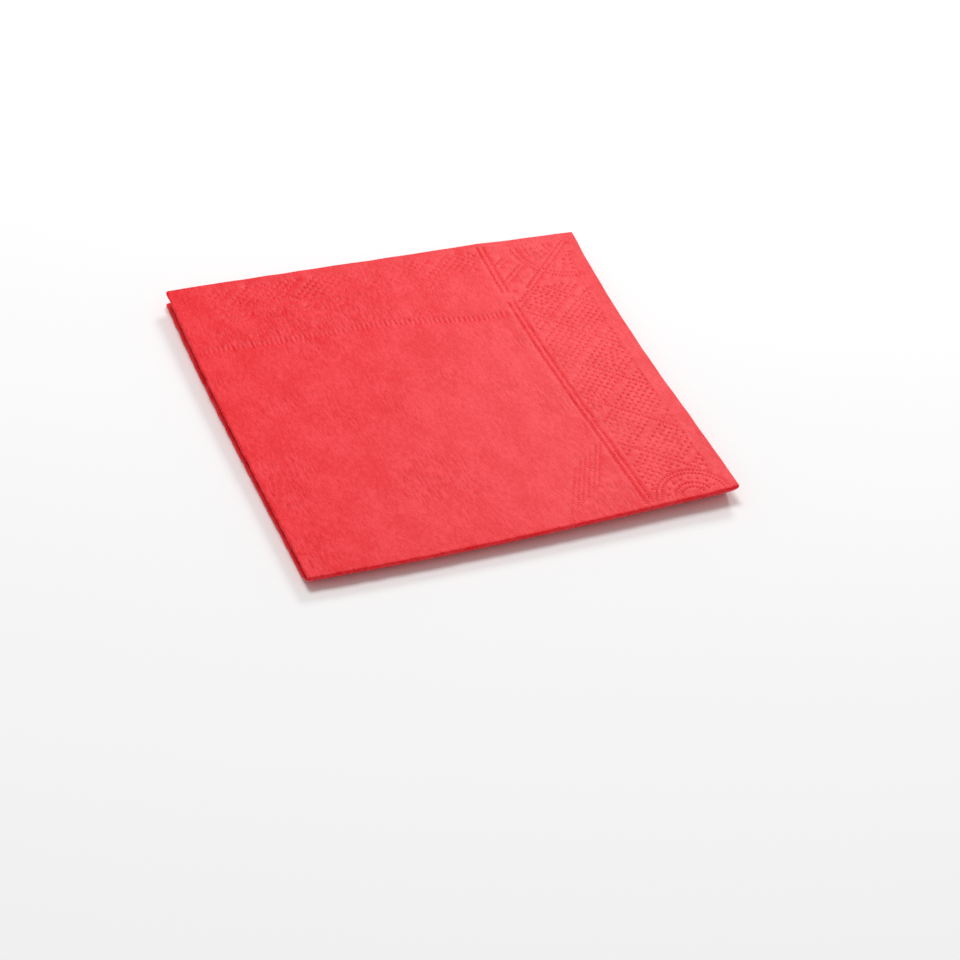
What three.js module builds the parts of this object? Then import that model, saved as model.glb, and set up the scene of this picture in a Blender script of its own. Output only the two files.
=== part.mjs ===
// A paper napkin: one square sheet of tissue, folded in half and in half again, lying flat.
// Millimetres, +Z up. The second fold is at the front (-Y), the first fold at the left (-X), and the
// four raw edges of the layers lie at the right and at the back. The origin is under its middle.

import * as THREE from "three";
import { mergeVertices } from "three/addons/utils/BufferGeometryUtils.js";

// The sheet as it was cut, its plies taken together
const sheetSide = 330;
const sheetThickness = 1.0;
const layerGap = 0.3;
const red = 0xf44c53;

// The two folds, each a round bend of the sheet's middle
const sideFoldRadius = (sheetThickness + layerGap) / 2;
const pairHalfHeight = sheetThickness + layerGap / 2;
const frontFoldRadius = pairHalfHeight + layerGap / 2;
const frontFoldOuterRadius = frontFoldRadius + pairHalfHeight;
const foldedHeight = 2 * frontFoldOuterRadius;

// A crease is pressed: the layers are squeezed to this share of their thickness at the fold. They meet
// near their outer face, so that the top stays flat up to the fold and the paper below it draws in.
// overhang is how far the front crease stands out over the bottom layer.
const sideCrease = { reach: 8, squeeze: 0.5, heightShare: 0.85 };
const frontCrease = { reach: 10, squeeze: 0.45, heightShare: 0.88, overhang: 2.0 };

// The folded square is a little out of true. dx and dy move a corner, and lift raises its top layer.
const corners = [
  { name: "front left", u: 0, v: 0, dx: 0.4, dy: -1.0, lift: 0.0 },
  { name: "front right", u: 1, v: 0, dx: -0.6, dy: 1.2, lift: 1.8 },
  { name: "back right", u: 1, v: 1, dx: 0.7, dy: -1.1, lift: 0.0 },
  { name: "back left", u: 0, v: 1, dx: -0.6, dy: 0.9, lift: 1.8 },
];
const cornerLiftPower = 1.7;

// How far each edge bows outwards, and where along it from the left or the front
const edges = {
  front: { bow: 1.5, peak: 0.41 },
  back: { bow: 1.2, peak: 0.7 },
  left: { bow: 1.0, peak: 0.62 },
  right: { bow: -2.4, peak: 0.57 },
};

// The raw edges of the four layers don't lie exactly on each other
const layers = [
  { name: "bottom outer", outward: 1, upward: 0, right: -1.4, back: 0.0 },
  { name: "bottom inner", outward: 0, upward: 0, right: -1.8, back: -0.8 },
  { name: "top inner", outward: 0, upward: 1, right: -0.6, back: -1.3 },
  { name: "top outer", outward: 1, upward: 1, right: 0.0, back: -0.1 },
];
const edgeTrimPower = 8;

// Slow swells of the top layer. across and along are counts of waves over the folded square.
const swells = [
  { height: 0.3, across: 0.9, along: 0.7, phase: 0.4 },
  { height: 0.2, across: -1.6, along: 1.3, phase: 2.1 },
];

// The embossed inner lines of the border, pressed into the top layer. The twin line runs parallel
// to the right edge, and the wide line parallel to the back edge. Both lean a little.
const twinLine = { at: 130.2, lean: -4.6, spacing: 2.5, width: 1.3, depth: 0.35 };
const wideLine = { at: 127.0, drop: -6.7, dropFrom: 70, dropTo: 118, spacing: 3.6, width: 1.3, depth: 0.3 };

// Grid lines of the sheet, as distances from a fold along the sheet
const plainStations = [3, 6, 11, 22, 38, 56, 76, 96, 112];
const endStations = [142, 156];
const foldSteps = 6;

const clamp = (value, low, high) => Math.min(high, Math.max(low, value));
const smooth = (value) => value * value * (3 - 2 * value);
const ramp = (value, from, to) => smooth(clamp((value - from) / (to - from), 0, 1));

// The grid lines on both sides of a fold: around the bend, over the plain sheet and at the border.
function stations(foldRadius, line) {
  const halfBend = (Math.PI / 2) * foldRadius;
  const list = [];
  for (let i = 0; i <= foldSteps; i += 1) {
    list.push({ at: halfBend * ((2 * i) / foldSteps - 1), shift: 0 });
  }
  for (const at of [...plainStations, ...endStations, sheetSide / 2]) {
    list.push({ at, shift: 0 }, { at: -at, shift: 0 });
  }
  for (const side of [-1, 1]) {
    const middle = line.at + (side * line.spacing) / 2;
    for (const step of [-line.width / 2, 0, line.width / 2]) {
      list.push({ at: middle + step, shift: 1 });
    }
  }
  list.push({ at: -line.at, shift: 0 });
  return list.sort((a, b) => a.at - b.at);
}

// The lean of the twin line along the sheet, and the drop of the wide line across it.
const twinLean = (along) => twinLine.lean * clamp(along / (sheetSide / 2), 0, 1);
const wideDrop = (across) => wideLine.drop * ramp(across, wideLine.dropFrom, wideLine.dropTo);

// How far a pair of pressed lines sinks the surface at a distance from the pair's middle.
function pressed(distance, line) {
  const fromLine = Math.abs(Math.abs(distance) - line.spacing / 2);
  return line.depth * clamp(1 - fromLine / (line.width / 2), 0, 1);
}

// A bend of the sheet: where a point at this distance from the fold line lies, by the angle it has
// turned through and the straight run after the bend.
function bend(distance, radius) {
  const halfBend = (Math.PI / 2) * radius;
  const angle = clamp(distance / radius, -Math.PI / 2, Math.PI / 2);
  return { angle, run: Math.max(0, Math.abs(distance) - halfBend) };
}

// How far a point lies behind the tip of a fold, whose bend is pressed as flat as its crease.
function behindTip(turn, radius, outerRadius, crease) {
  return crease.squeeze * (outerRadius - radius * Math.cos(turn.angle)) + turn.run;
}

// How far the layers are pressed together, from 1 at a crease to 0 past its reach.
function pressing(distance, crease) {
  return clamp(1 - distance / crease.reach, 0, 1) ** 2;
}

// The share of its thickness that the paper keeps at a distance from a crease.
function keptShare(distance, crease) {
  return 1 - (1 - crease.squeeze) * pressing(distance, crease);
}

function bow(edge, share) {
  const power = Math.log(0.5) / Math.log(edge.peak);
  return edge.bow * Math.sin(Math.PI * clamp(share, 0, 1) ** power);
}

// How much a layer's raw edge stands back, blended round the folds that join the layers.
function trim(side, outward, upward) {
  let total = 0;
  for (const layer of layers) {
    const a = layer.outward ? outward : 1 - outward;
    const b = layer.upward ? upward : 1 - upward;
    total += layer[side] * a * b;
  }
  return total;
}

// How far the top layer stands above its lowest level.
function lift(u, v) {
  let total = 0;
  for (const corner of corners) {
    const near = (1 - Math.abs(u - corner.u)) * (1 - Math.abs(v - corner.v));
    total += corner.lift * clamp(near, 0, 1) ** cornerLiftPower;
  }
  for (const swell of swells) {
    const wave = Math.sin(2 * Math.PI * (swell.across * u + swell.along * v) + swell.phase);
    total += (swell.height * (1 + wave)) / 2;
  }
  return total;
}

// Where a point of the open sheet lies once the sheet is folded. across and along are measured from
// the two fold lines, and off from the middle of the paper towards its outer face.
function fold(across, along, off) {
  const first = bend(across, sideFoldRadius);
  const level = sideFoldRadius + off;
  let x = behindTip(first, level, pairHalfHeight, sideCrease);
  const sideHeight = sideCrease.heightShare * pairHalfHeight;
  const height = sideHeight + (level * Math.sin(first.angle) - sideHeight) * keptShare(x, sideCrease);

  const second = bend(along, frontFoldRadius);
  const reach = frontFoldRadius + height;
  let y = behindTip(second, reach, frontFoldOuterRadius, frontCrease);
  let z = frontFoldOuterRadius + reach * Math.sin(second.angle);

  const outward = (1 + Math.sin(first.angle)) / 2;
  const upward = (1 + Math.sin(second.angle)) / 2;
  const side = sheetSide / 2;
  x += trim("right", outward, upward) * clamp(x / side, 0, 1) ** edgeTrimPower;
  y += trim("back", outward, upward) * clamp(y / side, 0, 1) ** edgeTrimPower;

  const u = clamp(x / side, 0, 1);
  const v = clamp(y / side, 0, 1);

  // The top layer is lifted most. Layers that a crease presses together rise as one.
  let lifted = (z / foldedHeight) ** 2;
  lifted += (upward - lifted) * pressing(x, sideCrease);
  lifted += (1 - lifted) * pressing(y, frontCrease);
  const frontHeight = frontCrease.heightShare * foldedHeight;
  z = frontHeight + (z - frontHeight) * keptShare(y, frontCrease);
  y += frontCrease.overhang * (1 - z / foldedHeight) * pressing(y, frontCrease);
  z += lift(u, v) * lifted;

  let dx = bow(edges.right, v) * u - bow(edges.left, v) * (1 - u);
  let dy = bow(edges.back, u) * v - bow(edges.front, u) * (1 - v);
  for (const corner of corners) {
    const near = (1 - Math.abs(u - corner.u)) * (1 - Math.abs(v - corner.v));
    dx += corner.dx * near;
    dy += corner.dy * near;
  }
  return new THREE.Vector3(x + dx, y + dy, z);
}

// The sheet is a thin box whose grid lines are moved to the stations and then folded.
function napkinGeometry() {
  const acrossLines = stations(sideFoldRadius, twinLine);
  const alongLines = stations(frontFoldRadius, wideLine);
  const columns = acrossLines.length - 1;
  const rows = alongLines.length - 1;
  let geometry = new THREE.BoxGeometry(columns, rows, 1, columns, rows, 1);
  geometry.deleteAttribute("normal");
  geometry.deleteAttribute("uv");
  geometry = mergeVertices(geometry);
  const place = geometry.getAttribute("position");
  for (let i = 0; i < place.count; i += 1) {
    const column = acrossLines[Math.round(place.getX(i) + columns / 2)];
    const row = alongLines[Math.round(place.getY(i) + rows / 2)];
    const across = column.at + column.shift * twinLean(row.at);
    const along = row.at + row.shift * wideDrop(column.at);
    const outer = place.getZ(i) > 0;
    let off = outer ? sheetThickness / 2 : -sheetThickness / 2;
    if (outer && across > 0 && along > 0) {
      const twin = pressed(across - twinLine.at - twinLean(along), twinLine);
      const wide = pressed(along - wideLine.at - wideDrop(across), wideLine);
      off -= Math.max(twin, across < twinLine.at ? wide : 0);
    }
    place.setXYZ(i, ...fold(across, along, off));
  }
  geometry.computeBoundingBox();
  const middle = geometry.boundingBox.getCenter(new THREE.Vector3());
  geometry.translate(-middle.x, -middle.y, 0);
  geometry.computeVertexNormals();
  return geometry;
}

const tissue = new THREE.MeshStandardMaterial({ color: red, roughness: 0.95, metalness: 0 });
const napkin = new THREE.Mesh(napkinGeometry(), tissue);
napkin.name = "napkin";

const model = new THREE.Group();
model.add(napkin);

export default model;
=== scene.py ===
# A red paper napkin, folded to a quarter and lying flat, on a pale floor.
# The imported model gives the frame. Metres, +Z up, the second fold at the front and the first at the left.

import math

import bpy
import numpy as np
from bpy.props import FloatProperty, FloatVectorProperty, IntProperty, PointerProperty
from mathutils import Matrix, Vector, noise
from mathutils.geometry import delaunay_2d_cdt


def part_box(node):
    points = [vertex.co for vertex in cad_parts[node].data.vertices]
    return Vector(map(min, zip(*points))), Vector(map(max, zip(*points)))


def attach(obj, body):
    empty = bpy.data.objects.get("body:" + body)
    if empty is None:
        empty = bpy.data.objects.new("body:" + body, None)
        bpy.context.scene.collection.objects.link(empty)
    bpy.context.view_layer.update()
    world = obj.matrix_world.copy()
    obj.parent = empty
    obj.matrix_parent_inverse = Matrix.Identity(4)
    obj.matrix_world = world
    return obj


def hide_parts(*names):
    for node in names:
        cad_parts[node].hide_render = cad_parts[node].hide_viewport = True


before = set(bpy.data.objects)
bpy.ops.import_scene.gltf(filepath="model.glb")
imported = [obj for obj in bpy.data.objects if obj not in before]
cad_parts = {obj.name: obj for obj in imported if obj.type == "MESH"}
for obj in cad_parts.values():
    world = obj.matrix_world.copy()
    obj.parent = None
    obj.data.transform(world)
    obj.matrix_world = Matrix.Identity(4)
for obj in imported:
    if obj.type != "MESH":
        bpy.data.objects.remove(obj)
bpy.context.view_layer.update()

bl_info = {
    "name": "Folded paper napkin",
    "version": (1, 0, 0),
    "blender": (4, 5, 0),
    "location": "View3D > Sidebar > Napkin",
    "description": "Makes a quarter-folded tissue napkin with an embossed border",
    "category": "Add Mesh",
}

MM = 0.001
NODE = "napkin"
FLAT_MAP = "Flat sheet"
# How far each point is pressed, kept on the mesh to paint shade into the pits of the marks
PRESSED_PIT_SHADE = "pressed"

# The folded square is a little out of true. dx and dy move a corner, and lift raises its top layer.
CORNERS = (
    {"name": "front left", "u": 0, "v": 0, "dx": 0.4 * MM, "dy": -1.0 * MM, "lift": 0.0},
    {"name": "front right", "u": 1, "v": 0, "dx": -0.6 * MM, "dy": 1.2 * MM, "lift": 1.8 * MM},
    {"name": "back right", "u": 1, "v": 1, "dx": 0.7 * MM, "dy": -1.1 * MM, "lift": 0.0},
    {"name": "back left", "u": 0, "v": 1, "dx": -0.6 * MM, "dy": 0.9 * MM, "lift": 1.8 * MM},
)
CORNER_LIFT_POWER = 1.7

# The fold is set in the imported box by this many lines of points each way
FIT_LINES = 67

# How far each edge bows outwards, and where along it from the left or the front
EDGES = {
    "front": {"bow": 1.5 * MM, "peak": 0.41},
    "back": {"bow": 1.2 * MM, "peak": 0.7},
    "left": {"bow": 1.0 * MM, "peak": 0.62},
    "right": {"bow": -2.4 * MM, "peak": 0.57},
}

# The raw edges of the four layers don't lie exactly on each other
LAYERS = (
    {"name": "bottom outer", "outward": 1, "upward": 0, "right": -1.4 * MM, "back": 0.0},
    {"name": "bottom inner", "outward": 0, "upward": 0, "right": -1.8 * MM, "back": -0.8 * MM},
    {"name": "top inner", "outward": 0, "upward": 1, "right": -0.6 * MM, "back": -1.3 * MM},
    {"name": "top outer", "outward": 1, "upward": 1, "right": 0.0, "back": -0.1 * MM},
)
EDGE_TRIM_POWER = 8

# Slow swells of the top layer. across and along are counts of waves over the folded square.
SWELLS = (
    {"height": 0.3 * MM, "across": 0.9, "along": 0.7, "phase": 0.4},
    {"height": 0.2 * MM, "across": -1.6, "along": 1.3, "phase": 2.1},
)

# The plies of the sheet, from its outer face inwards. trim draws a ply's raw edges in.
PLIES = (
    {"name": "outer_ply", "level": 1, "trim": 0.0},
    {"name": "middle_ply", "level": 0, "trim": 0.25 * MM},
    {"name": "inner_ply", "level": -1, "trim": 0.1 * MM},
)

# Blender's vector noise starts from the clock unless it has a seed
NOISE_SEED = 4

# Marks are pressed in rings from their middle out: a ring's size, and how deep the paper is there.
# On the layer that lies on the table, each is one cone.
MARK_RINGS = (
    {"size": 0.45, "depth": 0.9},
    {"size": 0.8, "depth": 0.35},
    {"size": 1.2, "depth": -0.12},
)
CONE_RINGS = ({"size": 1.0, "depth": 0.0},)

# Marks keep this far from the side fold, the front fold and the raw edges. Two alike keep this many radii
# apart, and the mesh beside a mark starts this many radii from it.
MARK_ROOM = {"side": 2.6 * MM, "front": 3 * MM, "edge": 2 * MM}
MARK_SPACING = 2.5
MARK_BESIDE = 1.5

# The share of its depth that a mark has: on average, and by the slow and the quick noise over the sheet
WEAR = {"mean": 0.85, "slow": 0.5, "quick": 0.4, "slow_size": 14 * MM, "quick_size": 1.1 * MM}

# Points on a ring round a dot, and along the middle of a dash
RING_POINTS = 6
DASH_POINTS = 5

# Marks are kept by square cells of this side, to find those near a place
CELL = 5 * MM

# Motifs of the border. Places are distances from the side fold and from the front fold, along the sheet.
TWIN_BREAK = {"start": 128 * MM, "middle": 130.5 * MM, "end": 133 * MM, "blend": 3 * MM}
LADDER_FALL = {"start": 70 * MM, "end": 118 * MM}
MEDALLION = {
    "place": (147.5 * MM, 2 * MM), "rings": (4.6 * MM, 7.0 * MM, 12.2 * MM, 14.0 * MM), "dots": 9.6 * MM,
    "reach": 15.2 * MM,
}

# The fan spreads from a point this far inside both raw edges. Its spine is two lines that lead there, side
# by side. Its slants lie beside the diagonal, in two pairs, and run from one distance before that point
# to another.
FAN = {
    "inset": 5.5 * MM, "rings": (6.5 * MM, 8.6 * MM, 20 * MM, 22.2 * MM),
    "dots": (11.4 * MM, 14.2 * MM, 17 * MM), "spine_side": 0.8 * MM, "spine_start": (23 * MM, 26 * MM),
    "slants": (4.2 * MM, 5.8 * MM, 9.4 * MM, 11 * MM), "slant_start": 24 * MM, "slant_end": 16.5 * MM,
}

# The garland's dotted line, and the arcs that hang this far below it and stand this far above the row of
# dashes. An arc that stands is moved to the left of the one that hangs.
GARLAND = {
    "from_edge": 17 * MM, "start": 17 * MM, "end": 62 * MM, "first": 23 * MM, "pitch": 12.5 * MM, "count": 7,
    "hanging": (5.4 * MM, 3.0 * MM), "below": 1.5 * MM,
    "standing": (4.8 * MM, 2.6 * MM), "above": 3.4 * MM, "moved": 6.2 * MM,
}

# The back of the border is pressed deep near the side fold, faint in the middle and fuller at the right.
# It changes between these distances from the fold.
BACK_DEPTH = {
    "near": 1.35, "middle": 0.4, "far": 0.8, "fades": (56 * MM, 68 * MM), "fills": (92 * MM, 102 * MM),
}

# The inner patch: slanted lines from x and y up to top, each of them some steps further on
PATCH = {
    "count": 6, "x": 101 * MM, "x_step": 3.1 * MM, "y": 7 * MM, "y_step": 2.2 * MM,
    "width": 11 * MM, "top": 29 * MM, "top_step": 2.4 * MM,
}

# A flower's ring of dots, and how far round it the trellis is left out
FLOWER_RADIUS = 2.45 * MM
FLOWER_REACH = 4.4 * MM

# The two fields of the trellis, as distances from the raw edges unless they say otherwise
SIDE_FIELD = {"from_edge": 6.5 * MM, "from_twin": 3.2 * MM, "from_back": 31 * MM}
BACK_FIELD = {"nearest": 3.5 * MM, "farthest": 16 * MM, "from_right": 36 * MM, "from_fold": 14 * MM}

# Mesh lines: some round each bend, then a first step on the plain sheet, each next one wider
BEND_LINES = 5
PLAIN_STEP = 0.7 * MM
STEP_GROWTH = 1.3

# In the zone of a crease the mesh has a point for each step along it, so that it can be uneven
CREASE_ZONE = 6 * MM
CREASE_STEP = 1.1 * MM

# One welt runs along the middle of the twin line and two lower ones to its sides, with a point of the mesh
# for each step. The twin line's own two rows lie in grooves.
WELT = {"height": 0.13 * MM, "width": 0.55 * MM, "side": 2.5 * MM, "side_width": 0.6 * MM, "step": 1.5 * MM}
GROOVE = {"depth": 0.04 * MM, "width": 0.5 * MM}

# How far a raw edge is rounded out between its two skins
EDGE_ROUND = 0.06 * MM


def clip01(value):
    return np.clip(value, 0.0, 1.0)


def ramp(value, start, end):
    share = clip01((value - start) / (end - start))
    return share * share * (3 - 2 * share)


def hump(distance, width):
    return np.exp(-((distance / width) ** 2))


def wander(first, second, size, seed):
    """Noise from -1 to 1 over two coordinates, with swells of about this size."""
    places = zip(first / size, second / size)
    return np.array([noise.noise(Vector((p, q, seed))) for p, q in places])


def cell_at(x, y):
    return math.floor(x / CELL), math.floor(y / CELL)


def cells_near(x, y):
    """The cell at a place and the eight round it."""
    column, row = cell_at(x, y)
    return [(i, j) for i in (column - 1, column, column + 1) for j in (row - 1, row, row + 1)]


class SheetSettings(bpy.types.PropertyGroup):
    side: FloatProperty(
        name="Cut side", description="Side of the open square sheet", default=330 * MM, unit="LENGTH"
    )
    layer: FloatProperty(
        name="Layer", description="Height of one layer, its plies together", default=1.0 * MM, unit="LENGTH"
    )
    gap: FloatProperty(
        name="Gap", description="Air between two layers of the fold", default=0.3 * MM, unit="LENGTH"
    )
    ply: FloatProperty(
        name="Ply", description="Thickness of one ply", default=0.28 * MM, unit="LENGTH"
    )
    side_reach: FloatProperty(
        name="Side reach", description="How far the first crease is pressed in",
        default=8 * MM, unit="LENGTH",
    )
    side_squeeze: FloatProperty(
        name="Side squeeze", description="Share of its thickness left at the first crease",
        default=0.5, subtype="FACTOR",
    )
    side_level: FloatProperty(
        name="Side level", description="Height of the first crease in its pair of layers",
        default=0.85, subtype="FACTOR",
    )
    front_reach: FloatProperty(
        name="Front reach", description="How far the second crease is pressed in",
        default=10 * MM, unit="LENGTH",
    )
    front_squeeze: FloatProperty(
        name="Front squeeze", description="Share of its thickness left at the second crease",
        default=0.45, subtype="FACTOR",
    )
    front_level: FloatProperty(
        name="Front level", description="Height of the second crease, as a share of the whole",
        default=0.88, subtype="FACTOR",
    )
    overhang: FloatProperty(
        name="Overhang", description="How far the second crease stands out over the bottom layer",
        default=2.0 * MM, unit="LENGTH",
    )
    crumple: FloatProperty(
        name="Crumple", description="Unevenness of the creases", default=0.28 * MM, unit="LENGTH"
    )
    ripple: FloatProperty(
        name="Edge ripple", description="Ripples along the raw edges", default=0.8 * MM, unit="LENGTH"
    )
    grid: FloatProperty(
        name="Grid", description="Spacing of the mesh on the plain sheet", default=3.4 * MM, unit="LENGTH"
    )


class EmbossSettings(bpy.types.PropertyGroup):
    depth: FloatProperty(
        name="Depth", description="Depth of a pressed dot", default=0.11 * MM, unit="LENGTH"
    )
    radius: FloatProperty(
        name="Dot radius", description="Radius of a dot of the lattice", default=0.47 * MM, unit="LENGTH"
    )
    pitch: FloatProperty(
        name="Pitch", description="Distance between dots of the lattice", default=2.35 * MM, unit="LENGTH"
    )
    fine_radius: FloatProperty(
        name="Fine radius", description="Radius of a dot of a dotted line", default=0.38 * MM, unit="LENGTH"
    )
    fine_pitch: FloatProperty(
        name="Fine pitch", description="Distance between dots of a line", default=1.35 * MM, unit="LENGTH"
    )
    twin_at: FloatProperty(
        name="Twin line", description="Distance of the twin line from the fold",
        default=130.2 * MM, unit="LENGTH",
    )
    twin_lean: FloatProperty(
        name="Twin line lean", description="Lean of the twin line", default=-4.6 * MM, unit="LENGTH"
    )
    twin_spacing: FloatProperty(
        name="Twin spacing", description="Distance between the twin lines", default=2.5 * MM, unit="LENGTH"
    )
    ladder_at: FloatProperty(
        name="Ladder", description="Distance of the row of dashes from the fold",
        default=127.0 * MM, unit="LENGTH",
    )
    ladder_drop: FloatProperty(
        name="Ladder drop", description="How far the row drops to the right",
        default=-6.7 * MM, unit="LENGTH",
    )
    ladder_pitch: FloatProperty(
        name="Ladder pitch", description="Distance between the dashes", default=1.88 * MM, unit="LENGTH"
    )
    slip: FloatProperty(
        name="Slip", description="How far a mark strays from its place", default=0.16 * MM, unit="LENGTH"
    )
    panel: IntProperty(
        name="Panel", description="Side of a lattice panel, in dots", default=8
    )


class ColourSettings(bpy.types.PropertyGroup):
    # Light and deep tissue also carry painted shade and light along the wrinkles, on top of the cloudiness
    # of the paper
    light: FloatVectorProperty(
        name="Light tissue", description="Where the paper is thin", subtype="COLOR", size=4,
        default=(0.93, 0.038, 0.052, 1.0),
    )
    deep: FloatVectorProperty(
        name="Deep tissue", description="Where the paper is dense", subtype="COLOR", size=4,
        default=(0.815, 0.002, 0.009, 1.0),
    )
    # Painted shade: the colour at the bottom of a mark, darker to stand in for the shade that falls in the
    # pit
    pressed: FloatVectorProperty(
        name="Pressed tissue", description="At the bottom of a dot", subtype="COLOR", size=4,
        default=(0.60, 0.003, 0.008, 1.0),
    )
    floor: FloatVectorProperty(
        name="Floor", description="The plain floor", subtype="COLOR", size=4, default=(0.95, 0.95, 0.95, 1.0)
    )


class StageSettings(bpy.types.PropertyGroup):
    lens: FloatProperty(name="Lens", description="Focal length in millimetres", default=112.5)
    distance: FloatProperty(
        name="Distance", description="From the camera to its aim", default=1.0749, unit="LENGTH"
    )
    azimuth: FloatProperty(
        name="Azimuth", description="Turn of the view about Z", default=math.radians(-25.0), subtype="ANGLE"
    )
    elevation: FloatProperty(
        name="Elevation", description="Camera above the horizon",
        default=math.radians(40.18), subtype="ANGLE",
    )
    roll: FloatProperty(
        name="Roll", description="Turn of the picture", default=math.radians(6.11), subtype="ANGLE"
    )
    aim: FloatVectorProperty(
        name="Aim", description="Where the camera looks", subtype="TRANSLATION",
        default=(-3.61 * MM, -44.6 * MM, 0),
    )
    key: FloatProperty(
        name="Key light", description="Power of the soft overhead light", default=75, unit="POWER"
    )
    side: FloatProperty(
        name="Side light", description="Power of the light at the back right", default=5, unit="POWER"
    )
    fill: FloatProperty(name="Fill light", description="Brightness of the studio", default=0.4)


class Fold:
    """Carries points of the open sheet to where they lie once it is folded twice."""

    def __init__(self, sheet):
        self.sheet = sheet
        self.half = sheet.side / 2
        self.pair = sheet.layer + sheet.gap / 2
        self.side_radius = (sheet.layer + sheet.gap) / 2
        self.front_radius = self.pair + sheet.gap / 2
        self.outer_radius = self.front_radius + self.pair
        self.height = 2 * self.outer_radius
        self.shift = np.zeros(3)
        line = np.linspace(-self.half, self.half, FIT_LINES)
        across, along = (axis.ravel() for axis in np.meshgrid(line, line))
        shape = self.place(across, along, np.full(across.size, sheet.layer / 2), uneven=0.0)
        low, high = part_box(NODE)
        middle = (shape.min(0) + shape.max(0)) / 2
        self.shift = np.array([(low.x + high.x) / 2 - middle[0], (low.y + high.y) / 2 - middle[1], low.z])

    def bend(self, distance, radius):
        """The angle turned through round a fold, and the straight run after it."""
        angle = np.clip(distance / radius, -math.pi / 2, math.pi / 2)
        return angle, np.maximum(0, np.abs(distance) - math.pi / 2 * radius)

    def behind_tip(self, angle, run, radius, outer_radius, squeeze):
        """How far a point lies behind the tip of a fold, whose bend is pressed as flat as its crease."""
        return squeeze * (outer_radius - radius * np.cos(angle)) + run

    def pressing(self, distance, reach):
        """How far the layers are pressed together, from 1 at a crease to 0 past its reach."""
        return clip01(1 - distance / reach) ** 2

    def bow(self, name, share):
        edge = EDGES[name]
        power = math.log(0.5) / math.log(edge["peak"])
        return edge["bow"] * np.sin(math.pi * clip01(share) ** power)

    def trim(self, side, outward, upward):
        """How far a layer's raw edge stands back, blended round the folds."""
        total = 0.0
        for layer in LAYERS:
            first = outward if layer["outward"] else 1 - outward
            second = upward if layer["upward"] else 1 - upward
            total = total + layer[side] * first * second
        return total

    def lift(self, u, v, uneven):
        """How far the top layer stands above its lowest level."""
        total = np.zeros(u.size)
        for corner in CORNERS:
            near = (1 - np.abs(u - corner["u"])) * (1 - np.abs(v - corner["v"]))
            total += corner["lift"] * clip01(near) ** CORNER_LIFT_POWER
        for swell in SWELLS:
            wave = np.sin(2 * math.pi * (swell["across"] * u + swell["along"] * v) + swell["phase"])
            total += swell["height"] * (1 + wave) / 2
        if uneven:
            reach, length = 7 * MM / self.half, 9 * MM / self.half
            right = np.exp(-(1 - u) / reach) * (1 + wander(v, u * 0.3, length, seed=3.1))
            back = np.exp(-(1 - v) / reach) * (1 + wander(u, v * 0.3, length, seed=8.7))
            total += uneven * self.sheet.ripple * (right + back) / 2
        return total

    def place(self, across, along, off, uneven=1.0):
        """Points of the folded sheet. off is from the middle of the paper to its outer face."""
        sheet = self.sheet
        angle, run = self.bend(across, self.side_radius)
        level = self.side_radius + off
        x = self.behind_tip(angle, run, level, self.pair, sheet.side_squeeze)
        beside = self.pressing(x, sheet.side_reach)
        crease = sheet.side_level * self.pair
        height = crease + (level * np.sin(angle) - crease) * (1 - (1 - sheet.side_squeeze) * beside)
        outward = (1 + np.sin(angle)) / 2

        turn, run = self.bend(along, self.front_radius)
        reach = self.front_radius + height
        y = self.behind_tip(turn, run, reach, self.outer_radius, sheet.front_squeeze)
        z = self.outer_radius + reach * np.sin(turn)
        upward = (1 + np.sin(turn)) / 2

        x = x + self.trim("right", outward, upward) * clip01(x / self.half) ** EDGE_TRIM_POWER
        y = y + self.trim("back", outward, upward) * clip01(y / self.half) ** EDGE_TRIM_POWER
        u, v = clip01(x / self.half), clip01(y / self.half)

        before = self.pressing(y, sheet.front_reach)
        lifted = (z / self.height) ** 2
        lifted = lifted + (upward - lifted) * self.pressing(x, sheet.side_reach)
        lifted = lifted + (1 - lifted) * before
        crease = sheet.front_level * self.height
        z = crease + (z - crease) * (1 - (1 - sheet.front_squeeze) * before)
        y = y + sheet.overhang * (1 - z / self.height) * before
        z = z + self.lift(u, v, uneven) * lifted
        if uneven:
            near_front = self.pressing(y, 5 * MM)
            near_side = self.pressing(x, 4 * MM)
            along_front = wander(x, z, 4.5 * MM, seed=1.7) + 0.5 * wander(x, z, 1.8 * MM, seed=5.2)
            along_side = wander(y, z, 5.5 * MM, seed=2.9) + 0.5 * wander(y, z, 2.1 * MM, seed=7.4)
            y = y + uneven * sheet.crumple * near_front * along_front
            x = x + uneven * sheet.crumple * near_side * along_side
            z = z + uneven * sheet.crumple * 0.6 * near_front * wander(x, z, 6 * MM, seed=9.9)

        dx = self.bow("right", v) * u - self.bow("left", v) * (1 - u)
        dy = self.bow("back", u) * v - self.bow("front", u) * (1 - v)
        for corner in CORNERS:
            near = (1 - np.abs(u - corner["u"])) * (1 - np.abs(v - corner["v"]))
            dx = dx + corner["dx"] * near
            dy = dy + corner["dy"] * near
        return np.column_stack([x + dx, y + dy, z]) + self.shift


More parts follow.
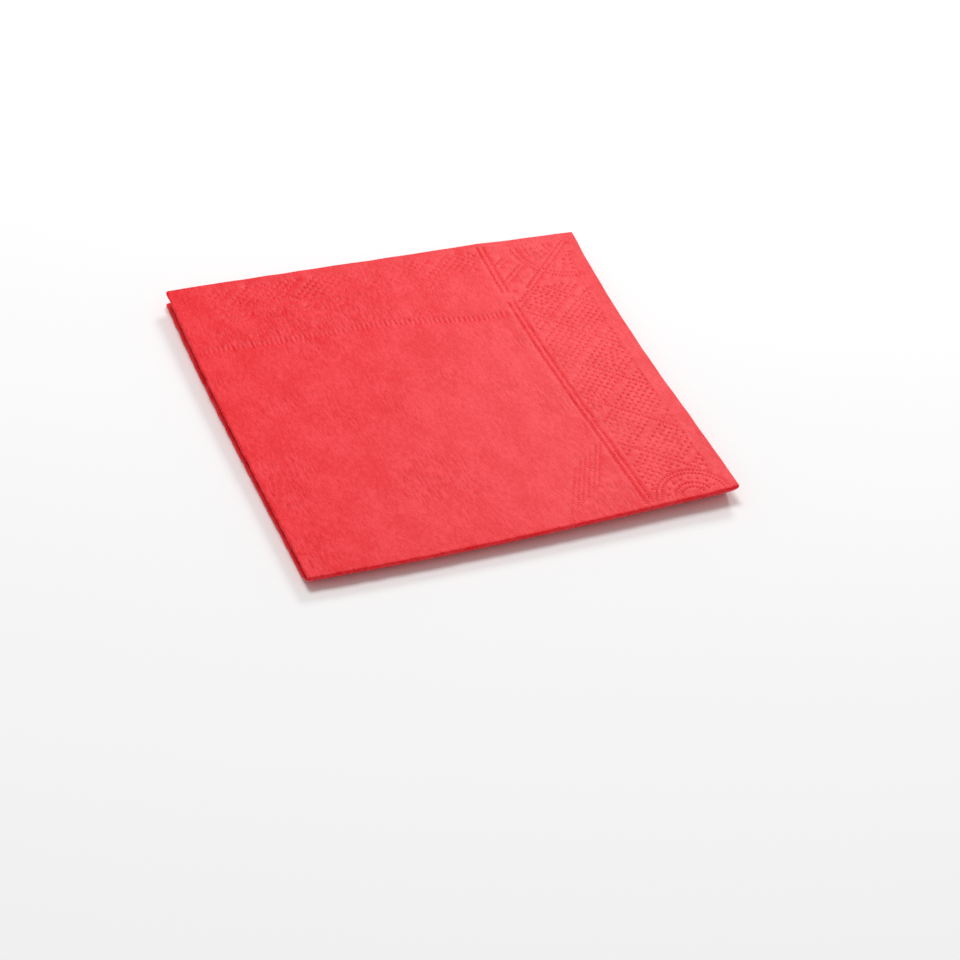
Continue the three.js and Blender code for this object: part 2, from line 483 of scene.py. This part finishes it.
class Border:
    """The embossed border of one quarter of the sheet, as marks at distances from the two folds."""

    def __init__(self, emboss, half):
        self.emboss = emboss
        self.half = half
        self.marks = []
        self.taken = {}
        noise.seed_set(NOISE_SEED)
        self.twin_lines()
        self.ladder()
        self.medallion()
        self.corner_fan()
        self.flowers()
        self.garland()
        self.trellis()
        self.strips()
        self.inner_patch()

    def free(self, x, y, clear, reach):
        """True if no mark lies nearer than this. Takes the place."""
        for cell in cells_near(x, y):
            for p, q, other, other_reach in self.taken.get(cell, ()):
                along = max(0.0, abs(y - q) - reach - other_reach)
                if math.hypot(p - x, along) < (clear + other) / 2:
                    return False
        self.taken.setdefault(cell_at(x, y), []).append((x, y, clear, reach))
        return True

    def mark(self, x, y, radius, depth=1.0, reach=0.0):
        """Presses a dot, or a dash that reaches this far along the sheet, where there is room."""
        most = self.half - MARK_ROOM["edge"]
        inside = MARK_ROOM["side"] < x < most and MARK_ROOM["front"] < y < most
        if inside and self.free(x, y, MARK_SPACING * radius, reach):
            slow = noise.noise(Vector((x / WEAR["slow_size"], y / WEAR["slow_size"], 4.4)))
            quick = noise.noise_vector(Vector((x / WEAR["quick_size"], y / WEAR["quick_size"], 2.2)))
            wear = WEAR["mean"] + WEAR["slow"] * slow + WEAR["quick"] * quick.z
            slip = self.emboss.slip
            place = {"x": x + slip * quick.x, "y": y + slip * quick.y}
            self.marks.append({**place, "radius": radius, "reach": reach, "depth": depth * wear})

    def dotted(self, place, length, depth=1.0):
        """Fine dots along a line. place gives the point at a distance along it."""
        count = max(1, round(length / self.emboss.fine_pitch))
        for i in range(count + 1):
            self.mark(*place(i / count * length), self.emboss.fine_radius, depth)

    def line(self, x, y, to_x, to_y, depth=1.0):
        length = math.hypot(to_x - x, to_y - y)
        self.dotted(lambda d: (x + (to_x - x) * d / length, y + (to_y - y) * d / length), length, depth)

    def arc(self, x, y, radius, start, end, depth=1.0):
        """A dotted arc about a point, between two angles in degrees."""
        first, last = math.radians(start), math.radians(end)
        self.dotted(
            lambda d: (x + radius * math.cos(first + d / radius), y + radius * math.sin(first + d / radius)),
            radius * (last - first), depth,
        )

    def rays(self, x, y, radii, start, turn, count, depth=1.0):
        """Dots of the lattice's size on rays from a point, at angles in degrees."""
        for i in range(count):
            angle = math.radians(start + turn * i)
            for radius in radii:
                place = (x + radius * math.cos(angle), y + radius * math.sin(angle))
                self.mark(*place, self.emboss.radius, depth)

    def twin_middle(self, y):
        return self.emboss.twin_at + self.emboss.twin_lean * clip01(y / self.half)

    def ladder_middle(self, x):
        fallen = ramp(x, LADDER_FALL["start"], LADDER_FALL["end"])
        return self.emboss.ladder_at + self.emboss.ladder_drop * fallen

    def twin_lines(self):
        """Two dotted lines along the sheet, with a short break at the corner of the border."""
        for side in (-1, 1):
            for i in range(int(self.half / self.emboss.fine_pitch)):
                y = i * self.emboss.fine_pitch
                x = self.twin_middle(y) + side * self.emboss.twin_spacing / 2
                depth = 0.9 if y < TWIN_BREAK["start"] else 0.6
                if not TWIN_BREAK["start"] < y < TWIN_BREAK["end"]:
                    self.mark(x, y, radius=0.36 * MM, depth=depth, reach=0.12 * MM)

    def ladder(self):
        """A row of dashes across the sheet, up to the twin line."""
        emboss = self.emboss
        for i in range(2, int(emboss.twin_at / emboss.ladder_pitch)):
            x = i * emboss.ladder_pitch
            y = self.ladder_middle(x)
            if x < self.twin_middle(y) - 3 * MM:
                self.mark(x, y, radius=0.28 * MM, depth=0.62, reach=1.6 * MM)

    def medallion(self):
        """Half rings about a point on the front fold."""
        x, y = MEDALLION["place"]
        for radius in MEDALLION["rings"]:
            self.arc(x, y, radius, start=8, end=172)
        self.rays(x, y, (MEDALLION["dots"],), start=20, turn=20, count=8)

    def corner_fan(self):
        """Quarter rings about the outer corner, with dots on rays and lines along its diagonal."""
        middle = self.half - FAN["inset"]
        before_x, before_y = FAN["spine_start"]
        for side in (-FAN["spine_side"], FAN["spine_side"]):
            x, y = middle + side, middle - side
            self.line(x - before_x, y - before_y, x, y)
        start, end = FAN["slant_start"], FAN["slant_end"]
        for side in FAN["slants"]:
            x, y = middle - side, middle + side
            self.line(x - start, y - start, x - end, y - end, depth=0.8)
        for radius in FAN["rings"]:
            self.arc(middle, middle, radius, start=182, end=268)
        self.rays(middle, middle, FAN["dots"], start=186, turn=13, count=7)

    def garland(self):
        """A dotted line along the back of the border, and arcs that hang from it or stand on the ladder."""
        line = self.half - GARLAND["from_edge"]
        self.line(GARLAND["start"], line, GARLAND["end"], line, depth=0.8)
        for k in range(GARLAND["count"]):
            x = GARLAND["first"] + GARLAND["pitch"] * k
            depth = 0.75 * self.back_share(x)
            wide, narrow = GARLAND["hanging"]
            self.arc(x, line - GARLAND["below"], wide, start=195, end=345, depth=depth)
            self.arc(x, line - GARLAND["below"], narrow, start=205, end=335, depth=depth)
            foot = x - GARLAND["moved"]
            for radius in GARLAND["standing"]:
                base = self.ladder_middle(foot) + GARLAND["above"]
                self.arc(foot, base, radius, start=15, end=165, depth=0.8 * depth)

    def back_share(self, x):
        """How deep the back of the border is pressed at a distance from the side fold."""
        near, middle, far = BACK_DEPTH["near"], BACK_DEPTH["middle"], BACK_DEPTH["far"]
        faded, filled = ramp(x, *BACK_DEPTH["fades"]), ramp(x, *BACK_DEPTH["fills"])
        return near + (middle - near) * faded + (far - middle) * filled

    def lattice_place(self, i, j):
        step = self.emboss.pitch / math.sqrt(2)
        return self.half - (i + j) * step, self.half - (i - j) * step

    def lattice_cells(self):
        """The cells of the trellis over the whole quarter, by column and row."""
        count = math.ceil(self.half * math.sqrt(2) / self.emboss.pitch / self.emboss.panel)
        return [(i, j) for i in range(count) for j in range(-count, count)]

    def trellis_depth(self, x, y):
        """How deep the trellis is pressed at a place, or 0 outside it."""
        right, back = self.half - x, self.half - y
        beyond_twin = x > self.twin_middle(y) + SIDE_FIELD["from_twin"]
        if beyond_twin and right > SIDE_FIELD["from_edge"] and back > SIDE_FIELD["from_back"]:
            return 1.0 if math.dist((x, y), MEDALLION["place"]) > MEDALLION["reach"] else 0.0
        within = BACK_FIELD["nearest"] < back < BACK_FIELD["farthest"]
        if within and right > BACK_FIELD["from_right"] and x > BACK_FIELD["from_fold"]:
            return self.back_share(x)
        return 0.0

    def flowers(self):
        """A small flower of dots in the middle of every third cell."""
        panel = self.emboss.panel
        for column, row in self.lattice_cells():
            x, y = self.lattice_place((column + 0.5) * panel, (row + 0.5) * panel)
            depth = self.trellis_depth(x, y)
            if self.is_open(column, row) and depth:
                self.rays(x, y, (FLOWER_RADIUS,), start=15, turn=60, count=6, depth=0.9 * depth)
                self.mark(x, y, self.emboss.radius, 0.9 * depth)

    def is_open(self, column, row):
        """Whether a cell leaves its middle to a flower."""
        return (column + 2 * row) % 3 == 0

    def trellis(self):
        """Diamonds of dots with plain strips between them."""
        panel, pitch = self.emboss.panel, self.emboss.pitch
        for column, row in self.lattice_cells():
            for i in range(1, panel):
                for j in range(1, panel):
                    x, y = self.lattice_place(column * panel + i, row * panel + j)
                    from_middle = math.hypot(i - panel / 2, j - panel / 2) * pitch
                    depth = self.trellis_depth(x, y)
                    if depth and not (self.is_open(column, row) and from_middle < FLOWER_REACH):
                        self.mark(x, y, self.emboss.radius, depth)

    def strips(self):
        """A fine dotted line in each strip that runs one way."""
        emboss = self.emboss
        count = int(2 * self.half / emboss.fine_pitch)
        for column in range(math.ceil(self.half * math.sqrt(2) / emboss.pitch / emboss.panel)):
            for m in range(-count, count):
                x, y = self.lattice_place(column * emboss.panel, m * emboss.fine_pitch / emboss.pitch)
                depth = self.trellis_depth(x, y)
                if depth:
                    self.mark(x, y, emboss.fine_radius, 0.85 * depth)

    def inner_patch(self):
        """Faint slanted lines inside the twin line, near the front fold."""
        for i in range(PATCH["count"]):
            x, y = PATCH["x"] + i * PATCH["x_step"], PATCH["y"] + i * PATCH["y_step"]
            self.line(x, y, x + PATCH["width"], PATCH["top"] + i * PATCH["top_step"], depth=0.6)

    def height(self, x, y):
        """The welts and grooves of the paper along the inner lines of the border."""
        from_twin = x - self.twin_middle(y)
        half = self.emboss.twin_spacing / 2
        clear = 1 - hump(y - TWIN_BREAK["middle"], TWIN_BREAK["blend"])
        groove = hump(np.abs(from_twin) - half, GROOVE["width"])
        sides = hump(np.abs(from_twin) - WELT["side"], WELT["side_width"])
        welt = hump(from_twin, WELT["width"]) + 0.5 * sides
        return (WELT["height"] * welt - GROOVE["depth"] * groove) * clear

    def spine(self):
        """Places for extra points of the mesh, which carry the welts beside the twin line."""
        rows = [i * WELT["step"] for i in range(2, int(self.half / WELT["step"]))]
        sides = (-WELT["side"], 0.0, WELT["side"])
        return np.array([(self.twin_middle(y) + side, y) for side in sides for y in rows])


class PlyMesh:
    """One ply as a thin closed sheet: an outer skin, an inner skin and a rim along the raw edges."""

    def __init__(self, fold, border, ply):
        sheet = fold.sheet
        self.fold = fold
        self.border = border
        self.half = fold.half
        self.shrink = 1 - ply["trim"] / self.half
        middle = ply["level"] * (sheet.layer - sheet.ply) / 2
        self.levels = {"outer": middle + sheet.ply / 2, "rim": middle, "inner": middle - sheet.ply / 2}
        self.flat = []
        self.places = []
        # How far each point is pressed, which sets the painted shade in the pits
        self.pressed = []
        self.faces = []
        self.count = 0

    def stations(self, radius):
        """Grid lines across a fold: round its bend, then wider apart over the plain sheet."""
        bend = math.pi / 2 * radius
        right = [bend * (i + 1) / BEND_LINES for i in range(BEND_LINES)]
        step = PLAIN_STEP
        while right[-1] + 1.5 * step < self.half:
            right.append(right[-1] + step)
            step = min(step * STEP_GROWTH, self.fold.sheet.grid)
        right.append(self.half)
        return np.array([-at for at in reversed(right)] + [0.0] + right)

    def grid(self):
        columns = self.stations(self.fold.side_radius)
        rows = self.stations(self.fold.front_radius)
        return columns, rows

    def add(self, flat, level, height, pressed):
        """Adds points of the open sheet at a level of the ply, and says where they start."""
        start = self.count
        off = np.full(len(flat), self.levels[level]) + height
        self.places.append(self.fold.place(flat[:, 0] * self.shrink, flat[:, 1] * self.shrink, off))
        self.flat.append(flat)
        self.pressed.append(pressed)
        self.count += len(flat)
        return start

    def plain_skin(self, level):
        columns, rows = self.grid()
        flat = np.array([(x, y) for y in rows for x in columns])
        start = self.add(flat, level, 0.0, np.zeros(len(flat)))
        width = len(columns)
        for j in range(len(rows) - 1):
            for i in range(width - 1):
                a = start + j * width + i
                face = (a, a + 1, a + width + 1, a + width)
                self.faces.append(face if level == "outer" else face[::-1])
        return self.edge_loop(flat, start)

    def middle_places(self, mark):
        """The middle of a dot, or places along the middle of a dash."""
        reach = mark["reach"]
        if reach < mark["radius"]:
            return [(0.0, 0.0)]
        return [(0.0, along) for along in np.linspace(-reach, reach, DASH_POINTS)]

    def ring_places(self, mark, radius):
        """Places on a ring round a dot, or along both sides and the ends of a dash."""
        reach = mark["reach"]
        if reach < mark["radius"]:
            turns = [2 * math.pi * (k + 0.5) / RING_POINTS for k in range(RING_POINTS)]
            return [
                (radius * math.cos(turn), radius * math.sin(turn) + math.copysign(reach, math.sin(turn)))
                for turn in turns
            ]
        sides = [(side * radius, along) for _, along in self.middle_places(mark) for side in (-1, 1)]
        return sides + [(0.0, reach + radius), (0.0, -reach - radius)]

    def mark_points(self, rings, mirror):
        """The points of the marks: their middles, then their rings, with depths and pressed shares, which
        set the painted shade in the pits.
        """
        points = []
        for mark in self.border.marks:
            x, y, share = mark["x"], mark["y"], mark["depth"]
            for side, along in self.middle_places(mark):
                points.append((x + side, y + along, share))
            for ring in rings:
                for side, along in self.ring_places(mark, ring["size"] * mark["radius"]):
                    points.append((x + side, y + along, share * ring["depth"]))
        points = np.array(points)
        points[:, 1] *= mirror
        return points[:, :2], -self.border.emboss.depth * points[:, 2], np.maximum(0.0, points[:, 2])

    def crease_points(self, columns, rows):
        """Extra points along both creases, so that they can be uneven."""
        points = []
        for across, along, turned in ((columns, rows, False), (rows, columns, True)):
            for near in along[np.abs(along) < CREASE_ZONE]:
                for a, b in zip(across[:-1], across[1:]):
                    pieces = max(1, round((b - a) / CREASE_STEP))
                    for i in range(1, pieces):
                        at = a + (b - a) * i / pieces
                        points.append((near, at) if turned else (at, near))
        return np.array(points)

    def embossed_skin(self):
        """The outer skin, with the border's marks pressed into the top layer and into the bottom one."""
        columns, rows = self.grid()
        edge = np.array([(x, y) for y in rows for x in columns])
        base = np.concatenate([edge, self.crease_points(columns, rows), self.border.spine()])
        top = self.mark_points(MARK_RINGS, 1)
        under = self.mark_points(CONE_RINGS, -1)
        base = base[self.clear_of_marks(base)]
        flat = np.concatenate([base, top[0], under[0]])
        across, along = flat.T
        on_top = (across > 0) & (along > 0)
        welts = np.where(on_top, self.border.height(np.abs(across), np.abs(along)), 0.0)
        height = np.concatenate([np.zeros(len(base)), top[1], under[1]]) + welts
        pressed = np.concatenate([np.zeros(len(base)), top[2], under[2]])
        _, _, faces, sources, _, _ = delaunay_2d_cdt([Vector(p) for p in flat / MM], [], [], 0, 1e-5)
        order = np.array([ids[0] for ids in sources])
        flat, height, pressed = flat[order], height[order], pressed[order]
        start = self.add(flat, "outer", height, pressed)
        for a, b, c in faces:
            self.faces.append((start + a, start + b, start + c))
        return self.edge_loop(flat, start)

    def clear_of_marks(self, points):
        """Which points lie clear of every mark and its rings."""
        cells = {}
        for mark in self.border.marks:
            cells.setdefault(cell_at(mark["x"], mark["y"]), []).append(mark)
        keep = np.ones(len(points), bool)
        for n, (x, y) in enumerate(points):
            if x <= 0:
                continue
            for cell in cells_near(x, abs(y)):
                for mark in cells.get(cell, ()):
                    along = max(0.0, abs(abs(y) - mark["y"]) - mark["reach"])
                    if math.hypot(x - mark["x"], along) < MARK_BESIDE * mark["radius"]:
                        keep[n] = False
        return keep

    def edge_loop(self, flat, start):
        """The skin's points along the raw edges, in order round the sheet."""
        half = self.half
        near = 1e-6
        sides = (
            (np.abs(flat[:, 1] + half) < near, flat[:, 0], 1),
            (np.abs(flat[:, 0] - half) < near, flat[:, 1], 1),
            (np.abs(flat[:, 1] - half) < near, flat[:, 0], -1),
            (np.abs(flat[:, 0] + half) < near, flat[:, 1], -1),
        )
        loop = []
        for on_edge, along, way in sides:
            index = np.nonzero(on_edge)[0]
            loop.extend(index[np.argsort(way * along[index])][:-1])
        return [start + i for i in loop]

    def rim(self, outer, inner):
        """Closes the raw edges with a soft round between the two skins."""
        flat = np.concatenate(self.flat)[outer]
        start = self.add(flat * (1 + EDGE_ROUND / self.half), "rim", 0.0, np.zeros(len(flat)))
        middle = [start + i for i in range(len(outer))]
        for upper, lower in ((outer, middle), (middle, inner)):
            for k in range(len(upper)):
                n = (k + 1) % len(upper)
                self.faces.append((upper[n], upper[k], lower[k], lower[n]))

    def build(self, name, embossed):
        outer = self.embossed_skin() if embossed else self.plain_skin("outer")
        inner = self.plain_skin("inner")
        self.rim(outer, inner)
        mesh = bpy.data.meshes.new(name)
        mesh.from_pydata(np.concatenate(self.places).tolist(), [], self.faces)
        flat = np.concatenate(self.flat) / (2 * self.half) + 0.5
        corners = np.empty(len(mesh.loops), int)
        mesh.loops.foreach_get("vertex_index", corners)
        mesh.uv_layers.new(name=FLAT_MAP).uv.foreach_set("vector", flat[corners].ravel())
        # The pressed share of each point, for the painted shade in the pits
        share = mesh.attributes.new(PRESSED_PIT_SHADE, "FLOAT", "POINT")
        share.data.foreach_set("value", np.concatenate(self.pressed))
        mesh.shade_smooth()
        mesh.set_sharp_from_angle(angle=math.radians(55))
        mesh.validate()
        return mesh


class Signal:
    """An output of a material's nodes, with the arithmetic of Python."""

    def __init__(self, finish, socket):
        self.finish = finish
        self.socket = socket

    def math(self, operation, first, second):
        return self.finish.node("ShaderNodeMath", {"operation": operation}, {0: first, 1: second})

    def __add__(self, other):
        return self.math("ADD", self, other)

    def __sub__(self, other):
        return self.math("SUBTRACT", self, other)

    def __mul__(self, other):
        return self.math("MULTIPLY", self, other)


class Finish:
    """The nodes of one material."""

    def __init__(self, name):
        self.material = bpy.data.materials.new(name)
        self.material.use_nodes = True
        self.tree = self.material.node_tree
        self.tree.nodes.clear()

    def node(self, kind, settings=None, inputs=None, output=0):
        """Adds a node, sets it, then fills or links its sockets."""
        made = self.tree.nodes.new(kind)
        for name, value in (settings or {}).items():
            setattr(made, name, value)
        for name, value in (inputs or {}).items():
            if isinstance(value, Signal):
                self.tree.links.new(value.socket, made.inputs[name])
            else:
                made.inputs[name].default_value = value
        return Signal(self, made.outputs[output]) if made.outputs else made

    def noise(self, place, scale, detail, roughness=0.5):
        return self.node(
            "ShaderNodeTexNoise", None,
            {"Vector": place, "Scale": scale, "Detail": detail, "Roughness": roughness},
        )

    def stretch(self, place, degrees, share):
        """Places for a pattern that is drawn out along the sheet and turned a little."""
        return self.node(
            "ShaderNodeMapping", {"vector_type": "POINT"},
            {"Vector": place, "Rotation": (0, 0, math.radians(degrees)), "Scale": (1.0, share, 1.0)},
        )

    def between(self, share, first, second):
        """A colour from first to second. The node's colours are its sockets 6 and 7 and its output 2."""
        return self.node("ShaderNodeMix", {"data_type": "RGBA"}, {0: share, 6: first, 7: second}, output=2)

    def spread(self, value, low, high):
        """Stretches a value from low and high to 0 and 1, with soft ends."""
        return self.node(
            "ShaderNodeMapRange", {"interpolation_type": "SMOOTHSTEP"},
            {"Value": value, "From Min": low, "From Max": high},
        )


def tissue_finish(colours):
    """Fibrous crepe tissue: cloudy colour, a fine grain and soft wrinkles, with painted shade in the pits of
    the marks and painted shade and light along the wrinkles.
    """
    finish = Finish("red_tissue")
    flat = finish.node("ShaderNodeUVMap", {"uv_map": FLAT_MAP})
    side = bpy.context.scene.napkin_sheet.side
    metres = finish.node("ShaderNodeVectorMath", {"operation": "SCALE"}, {0: flat, "Scale": side})
    drawn = finish.stretch(metres, degrees=6, share=0.55)
    clouds = finish.noise(drawn, scale=105, detail=3.0, roughness=0.55)
    flecks = finish.noise(drawn, scale=520, detail=3.0, roughness=0.6)
    crepe = finish.noise(finish.stretch(metres, degrees=6, share=0.4), scale=1100, detail=2.0)
    fibres = finish.noise(metres, scale=1700, detail=2.0, roughness=0.6)
    patches = finish.spread(finish.noise(metres, scale=32, detail=1.0), low=0.46, high=0.66)
    folds = finish.noise(finish.stretch(metres, degrees=9, share=0.22), scale=880, detail=1.0)
    wrinkles = (folds - 0.5) * patches
    pressed = finish.node("ShaderNodeAttribute", {"attribute_name": PRESSED_PIT_SHADE}, output="Fac")

    cloudy = finish.spread(clouds * 0.55 + flecks * 0.45, low=0.36, high=0.64)
    grain = crepe * 0.4 + fibres * 0.6
    # Painted shade and light: the wrinkles are added to the colour, darker where their relief stands up and
    # lighter where it sinks, on top of the density of the paper
    dense_and_shaded = cloudy * 0.7 + (grain - 0.5) * 3.4 + wrinkles * 2.1 + 0.2
    paper = finish.between(dense_and_shaded, tuple(colours.light), tuple(colours.deep))
    # Painted shade: the colour is drawn towards the pressed colour in the pits of the marks, by how deep
    # each is pressed
    colour = finish.between(pressed * 0.6, paper, tuple(colours.pressed))
    relief = crepe * 0.35 + flecks * 0.5 + fibres * 0.15 + wrinkles
    bump = finish.node("ShaderNodeBump", None, {"Height": relief, "Strength": 1.0, "Distance": 0.75 * MM})
    surface = finish.node(
        "ShaderNodeBsdfPrincipled", None,
        {
            "Base Color": colour, "Roughness": 0.5, "Specular IOR Level": 0.08, "Normal": bump,
            "Coat Weight": 0.26, "Coat Roughness": 0.4,
        },
    )
    finish.node("ShaderNodeOutputMaterial", None, {"Surface": surface})
    return finish.material


def floor_finish(colours):
    finish = Finish("pale_floor")
    surface = finish.node(
        "ShaderNodeBsdfPrincipled", None,
        {"Base Color": tuple(colours.floor), "Roughness": 1.0, "Specular IOR Level": 0.0},
    )
    finish.node("ShaderNodeOutputMaterial", None, {"Surface": surface})
    return finish.material


def add_object(name, data):
    made = bpy.data.objects.new(name, data)
    bpy.context.scene.collection.objects.link(made)
    return made


def add_plies(plies, embossed):
    """Makes plies of the sheet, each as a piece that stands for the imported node."""
    scene = bpy.context.scene
    fold = Fold(scene.napkin_sheet)
    border = Border(scene.napkin_emboss, fold.half)
    material = bpy.data.materials.get("red_tissue") or tissue_finish(scene.napkin_colours)
    for ply in plies:
        mesh = PlyMesh(fold, border, ply).build(ply["name"], embossed)
        mesh.materials.append(material)
        piece = add_object(ply["name"], mesh)
        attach(piece, "root")
        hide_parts(NODE)


class NAPKIN_OT_outer_ply(bpy.types.Operator):
    """Make the outer ply, with the embossed border on show"""

    bl_idname = "napkin.outer_ply"
    bl_label = "Outer ply"

    def execute(self, context):
        add_plies(PLIES[:1], embossed=True)
        return {"FINISHED"}


class NAPKIN_OT_inner_plies(bpy.types.Operator):
    """Make the plies behind the outer one, which show at the raw edges"""

    bl_idname = "napkin.inner_plies"
    bl_label = "Inner plies"

    def execute(self, context):
        add_plies(PLIES[1:], embossed=False)
        return {"FINISHED"}


class NAPKIN_OT_stage(bpy.types.Operator):
    """Make the floor, the soft lights and the camera"""

    bl_idname = "napkin.stage"
    bl_label = "Stage"

    def execute(self, context):
        scene = context.scene
        self.add_floor(scene)
        self.add_lights(scene)
        self.add_camera(scene)
        scene.view_settings.view_transform = "Standard"
        return {"FINISHED"}

    def add_floor(self, scene):
        size, drop = 3.0, 0.25 * MM
        mesh = bpy.data.meshes.new("floor")
        corners = [(-size, -size, -drop), (size, -size, -drop), (size, size, -drop), (-size, size, -drop)]
        mesh.from_pydata(corners, [], [(0, 1, 2, 3)])
        mesh.materials.append(floor_finish(scene.napkin_colours))
        add_object("floor", mesh)

    def add_light(self, name, power, size, azimuth, elevation, distance):
        """A round soft light that shines on the origin, from behind the napkin at azimuth 0."""
        data = bpy.data.lights.new(name, "AREA")
        data.shape = "DISK"
        data.size = size
        data.energy = power
        lamp = add_object(name, data)
        turn, rise = math.radians(azimuth), math.radians(elevation)
        way = Vector((math.sin(turn) * math.cos(rise), math.cos(turn) * math.cos(rise), math.sin(rise)))
        lamp.location = distance * way
        lamp.rotation_euler = (-way).to_track_quat("-Z", "Y").to_euler()

    def add_lights(self, scene):
        stage = scene.napkin_stage
        self.add_light("soft_key", stage.key, size=1.8, azimuth=-10, elevation=70, distance=4.0)
        self.add_light("side_window", stage.side, size=0.35, azimuth=36, elevation=35, distance=1.2)
        world = bpy.data.worlds.new("studio")
        world.use_nodes = True
        background = world.node_tree.nodes["Background"]
        background.inputs["Color"].default_value = (1, 1, 1, 1)
        background.inputs["Strength"].default_value = stage.fill
        scene.world = world

    def add_camera(self, scene):
        stage = scene.napkin_stage
        data = bpy.data.cameras.new("camera")
        data.lens = stage.lens
        data.sensor_width = 36
        data.clip_start, data.clip_end = 0.05, 20
        camera = add_object("camera", data)
        level = math.cos(stage.elevation)
        back = Vector(
            (math.sin(stage.azimuth) * level, -math.cos(stage.azimuth) * level, math.sin(stage.elevation))
        )
        turned = (-back).to_track_quat("-Z", "Y").to_matrix() @ Matrix.Rotation(stage.roll, 3, "Z")
        camera.matrix_world = Matrix.Translation(Vector(stage.aim) + back * stage.distance) @ turned.to_4x4()
        scene.camera = camera


class VIEW3D_PT_napkin(bpy.types.Panel):
    """Lists the steps that make the napkin."""

    bl_label = "Napkin"
    bl_space_type = "VIEW_3D"
    bl_region_type = "UI"
    bl_category = "Napkin"

    def draw(self, context):
        for step in STEPS:
            self.layout.operator(step.bl_idname)
        for group in ("napkin_sheet", "napkin_emboss", "napkin_colours", "napkin_stage"):
            settings = getattr(context.scene, group)
            box = self.layout.box()
            for name in settings.__annotations__:
                box.prop(settings, name)


STEPS = (NAPKIN_OT_stage, NAPKIN_OT_outer_ply, NAPKIN_OT_inner_plies)
GROUPS = {
    "napkin_sheet": SheetSettings,
    "napkin_emboss": EmbossSettings,
    "napkin_colours": ColourSettings,
    "napkin_stage": StageSettings,
}


def register():
    for cls in (*GROUPS.values(), *STEPS, VIEW3D_PT_napkin):
        bpy.utils.register_class(cls)
    for name, group in GROUPS.items():
        setattr(bpy.types.Scene, name, PointerProperty(type=group))


def unregister():
    for name in GROUPS:
        delattr(bpy.types.Scene, name)
    for cls in (VIEW3D_PT_napkin, *reversed(STEPS), *reversed(GROUPS.values())):
        bpy.utils.unregister_class(cls)


def main():
    register()
    bpy.ops.napkin.stage()
    bpy.ops.napkin.outer_ply()
    bpy.ops.napkin.inner_plies()


if __name__ == "__main__":
    main()
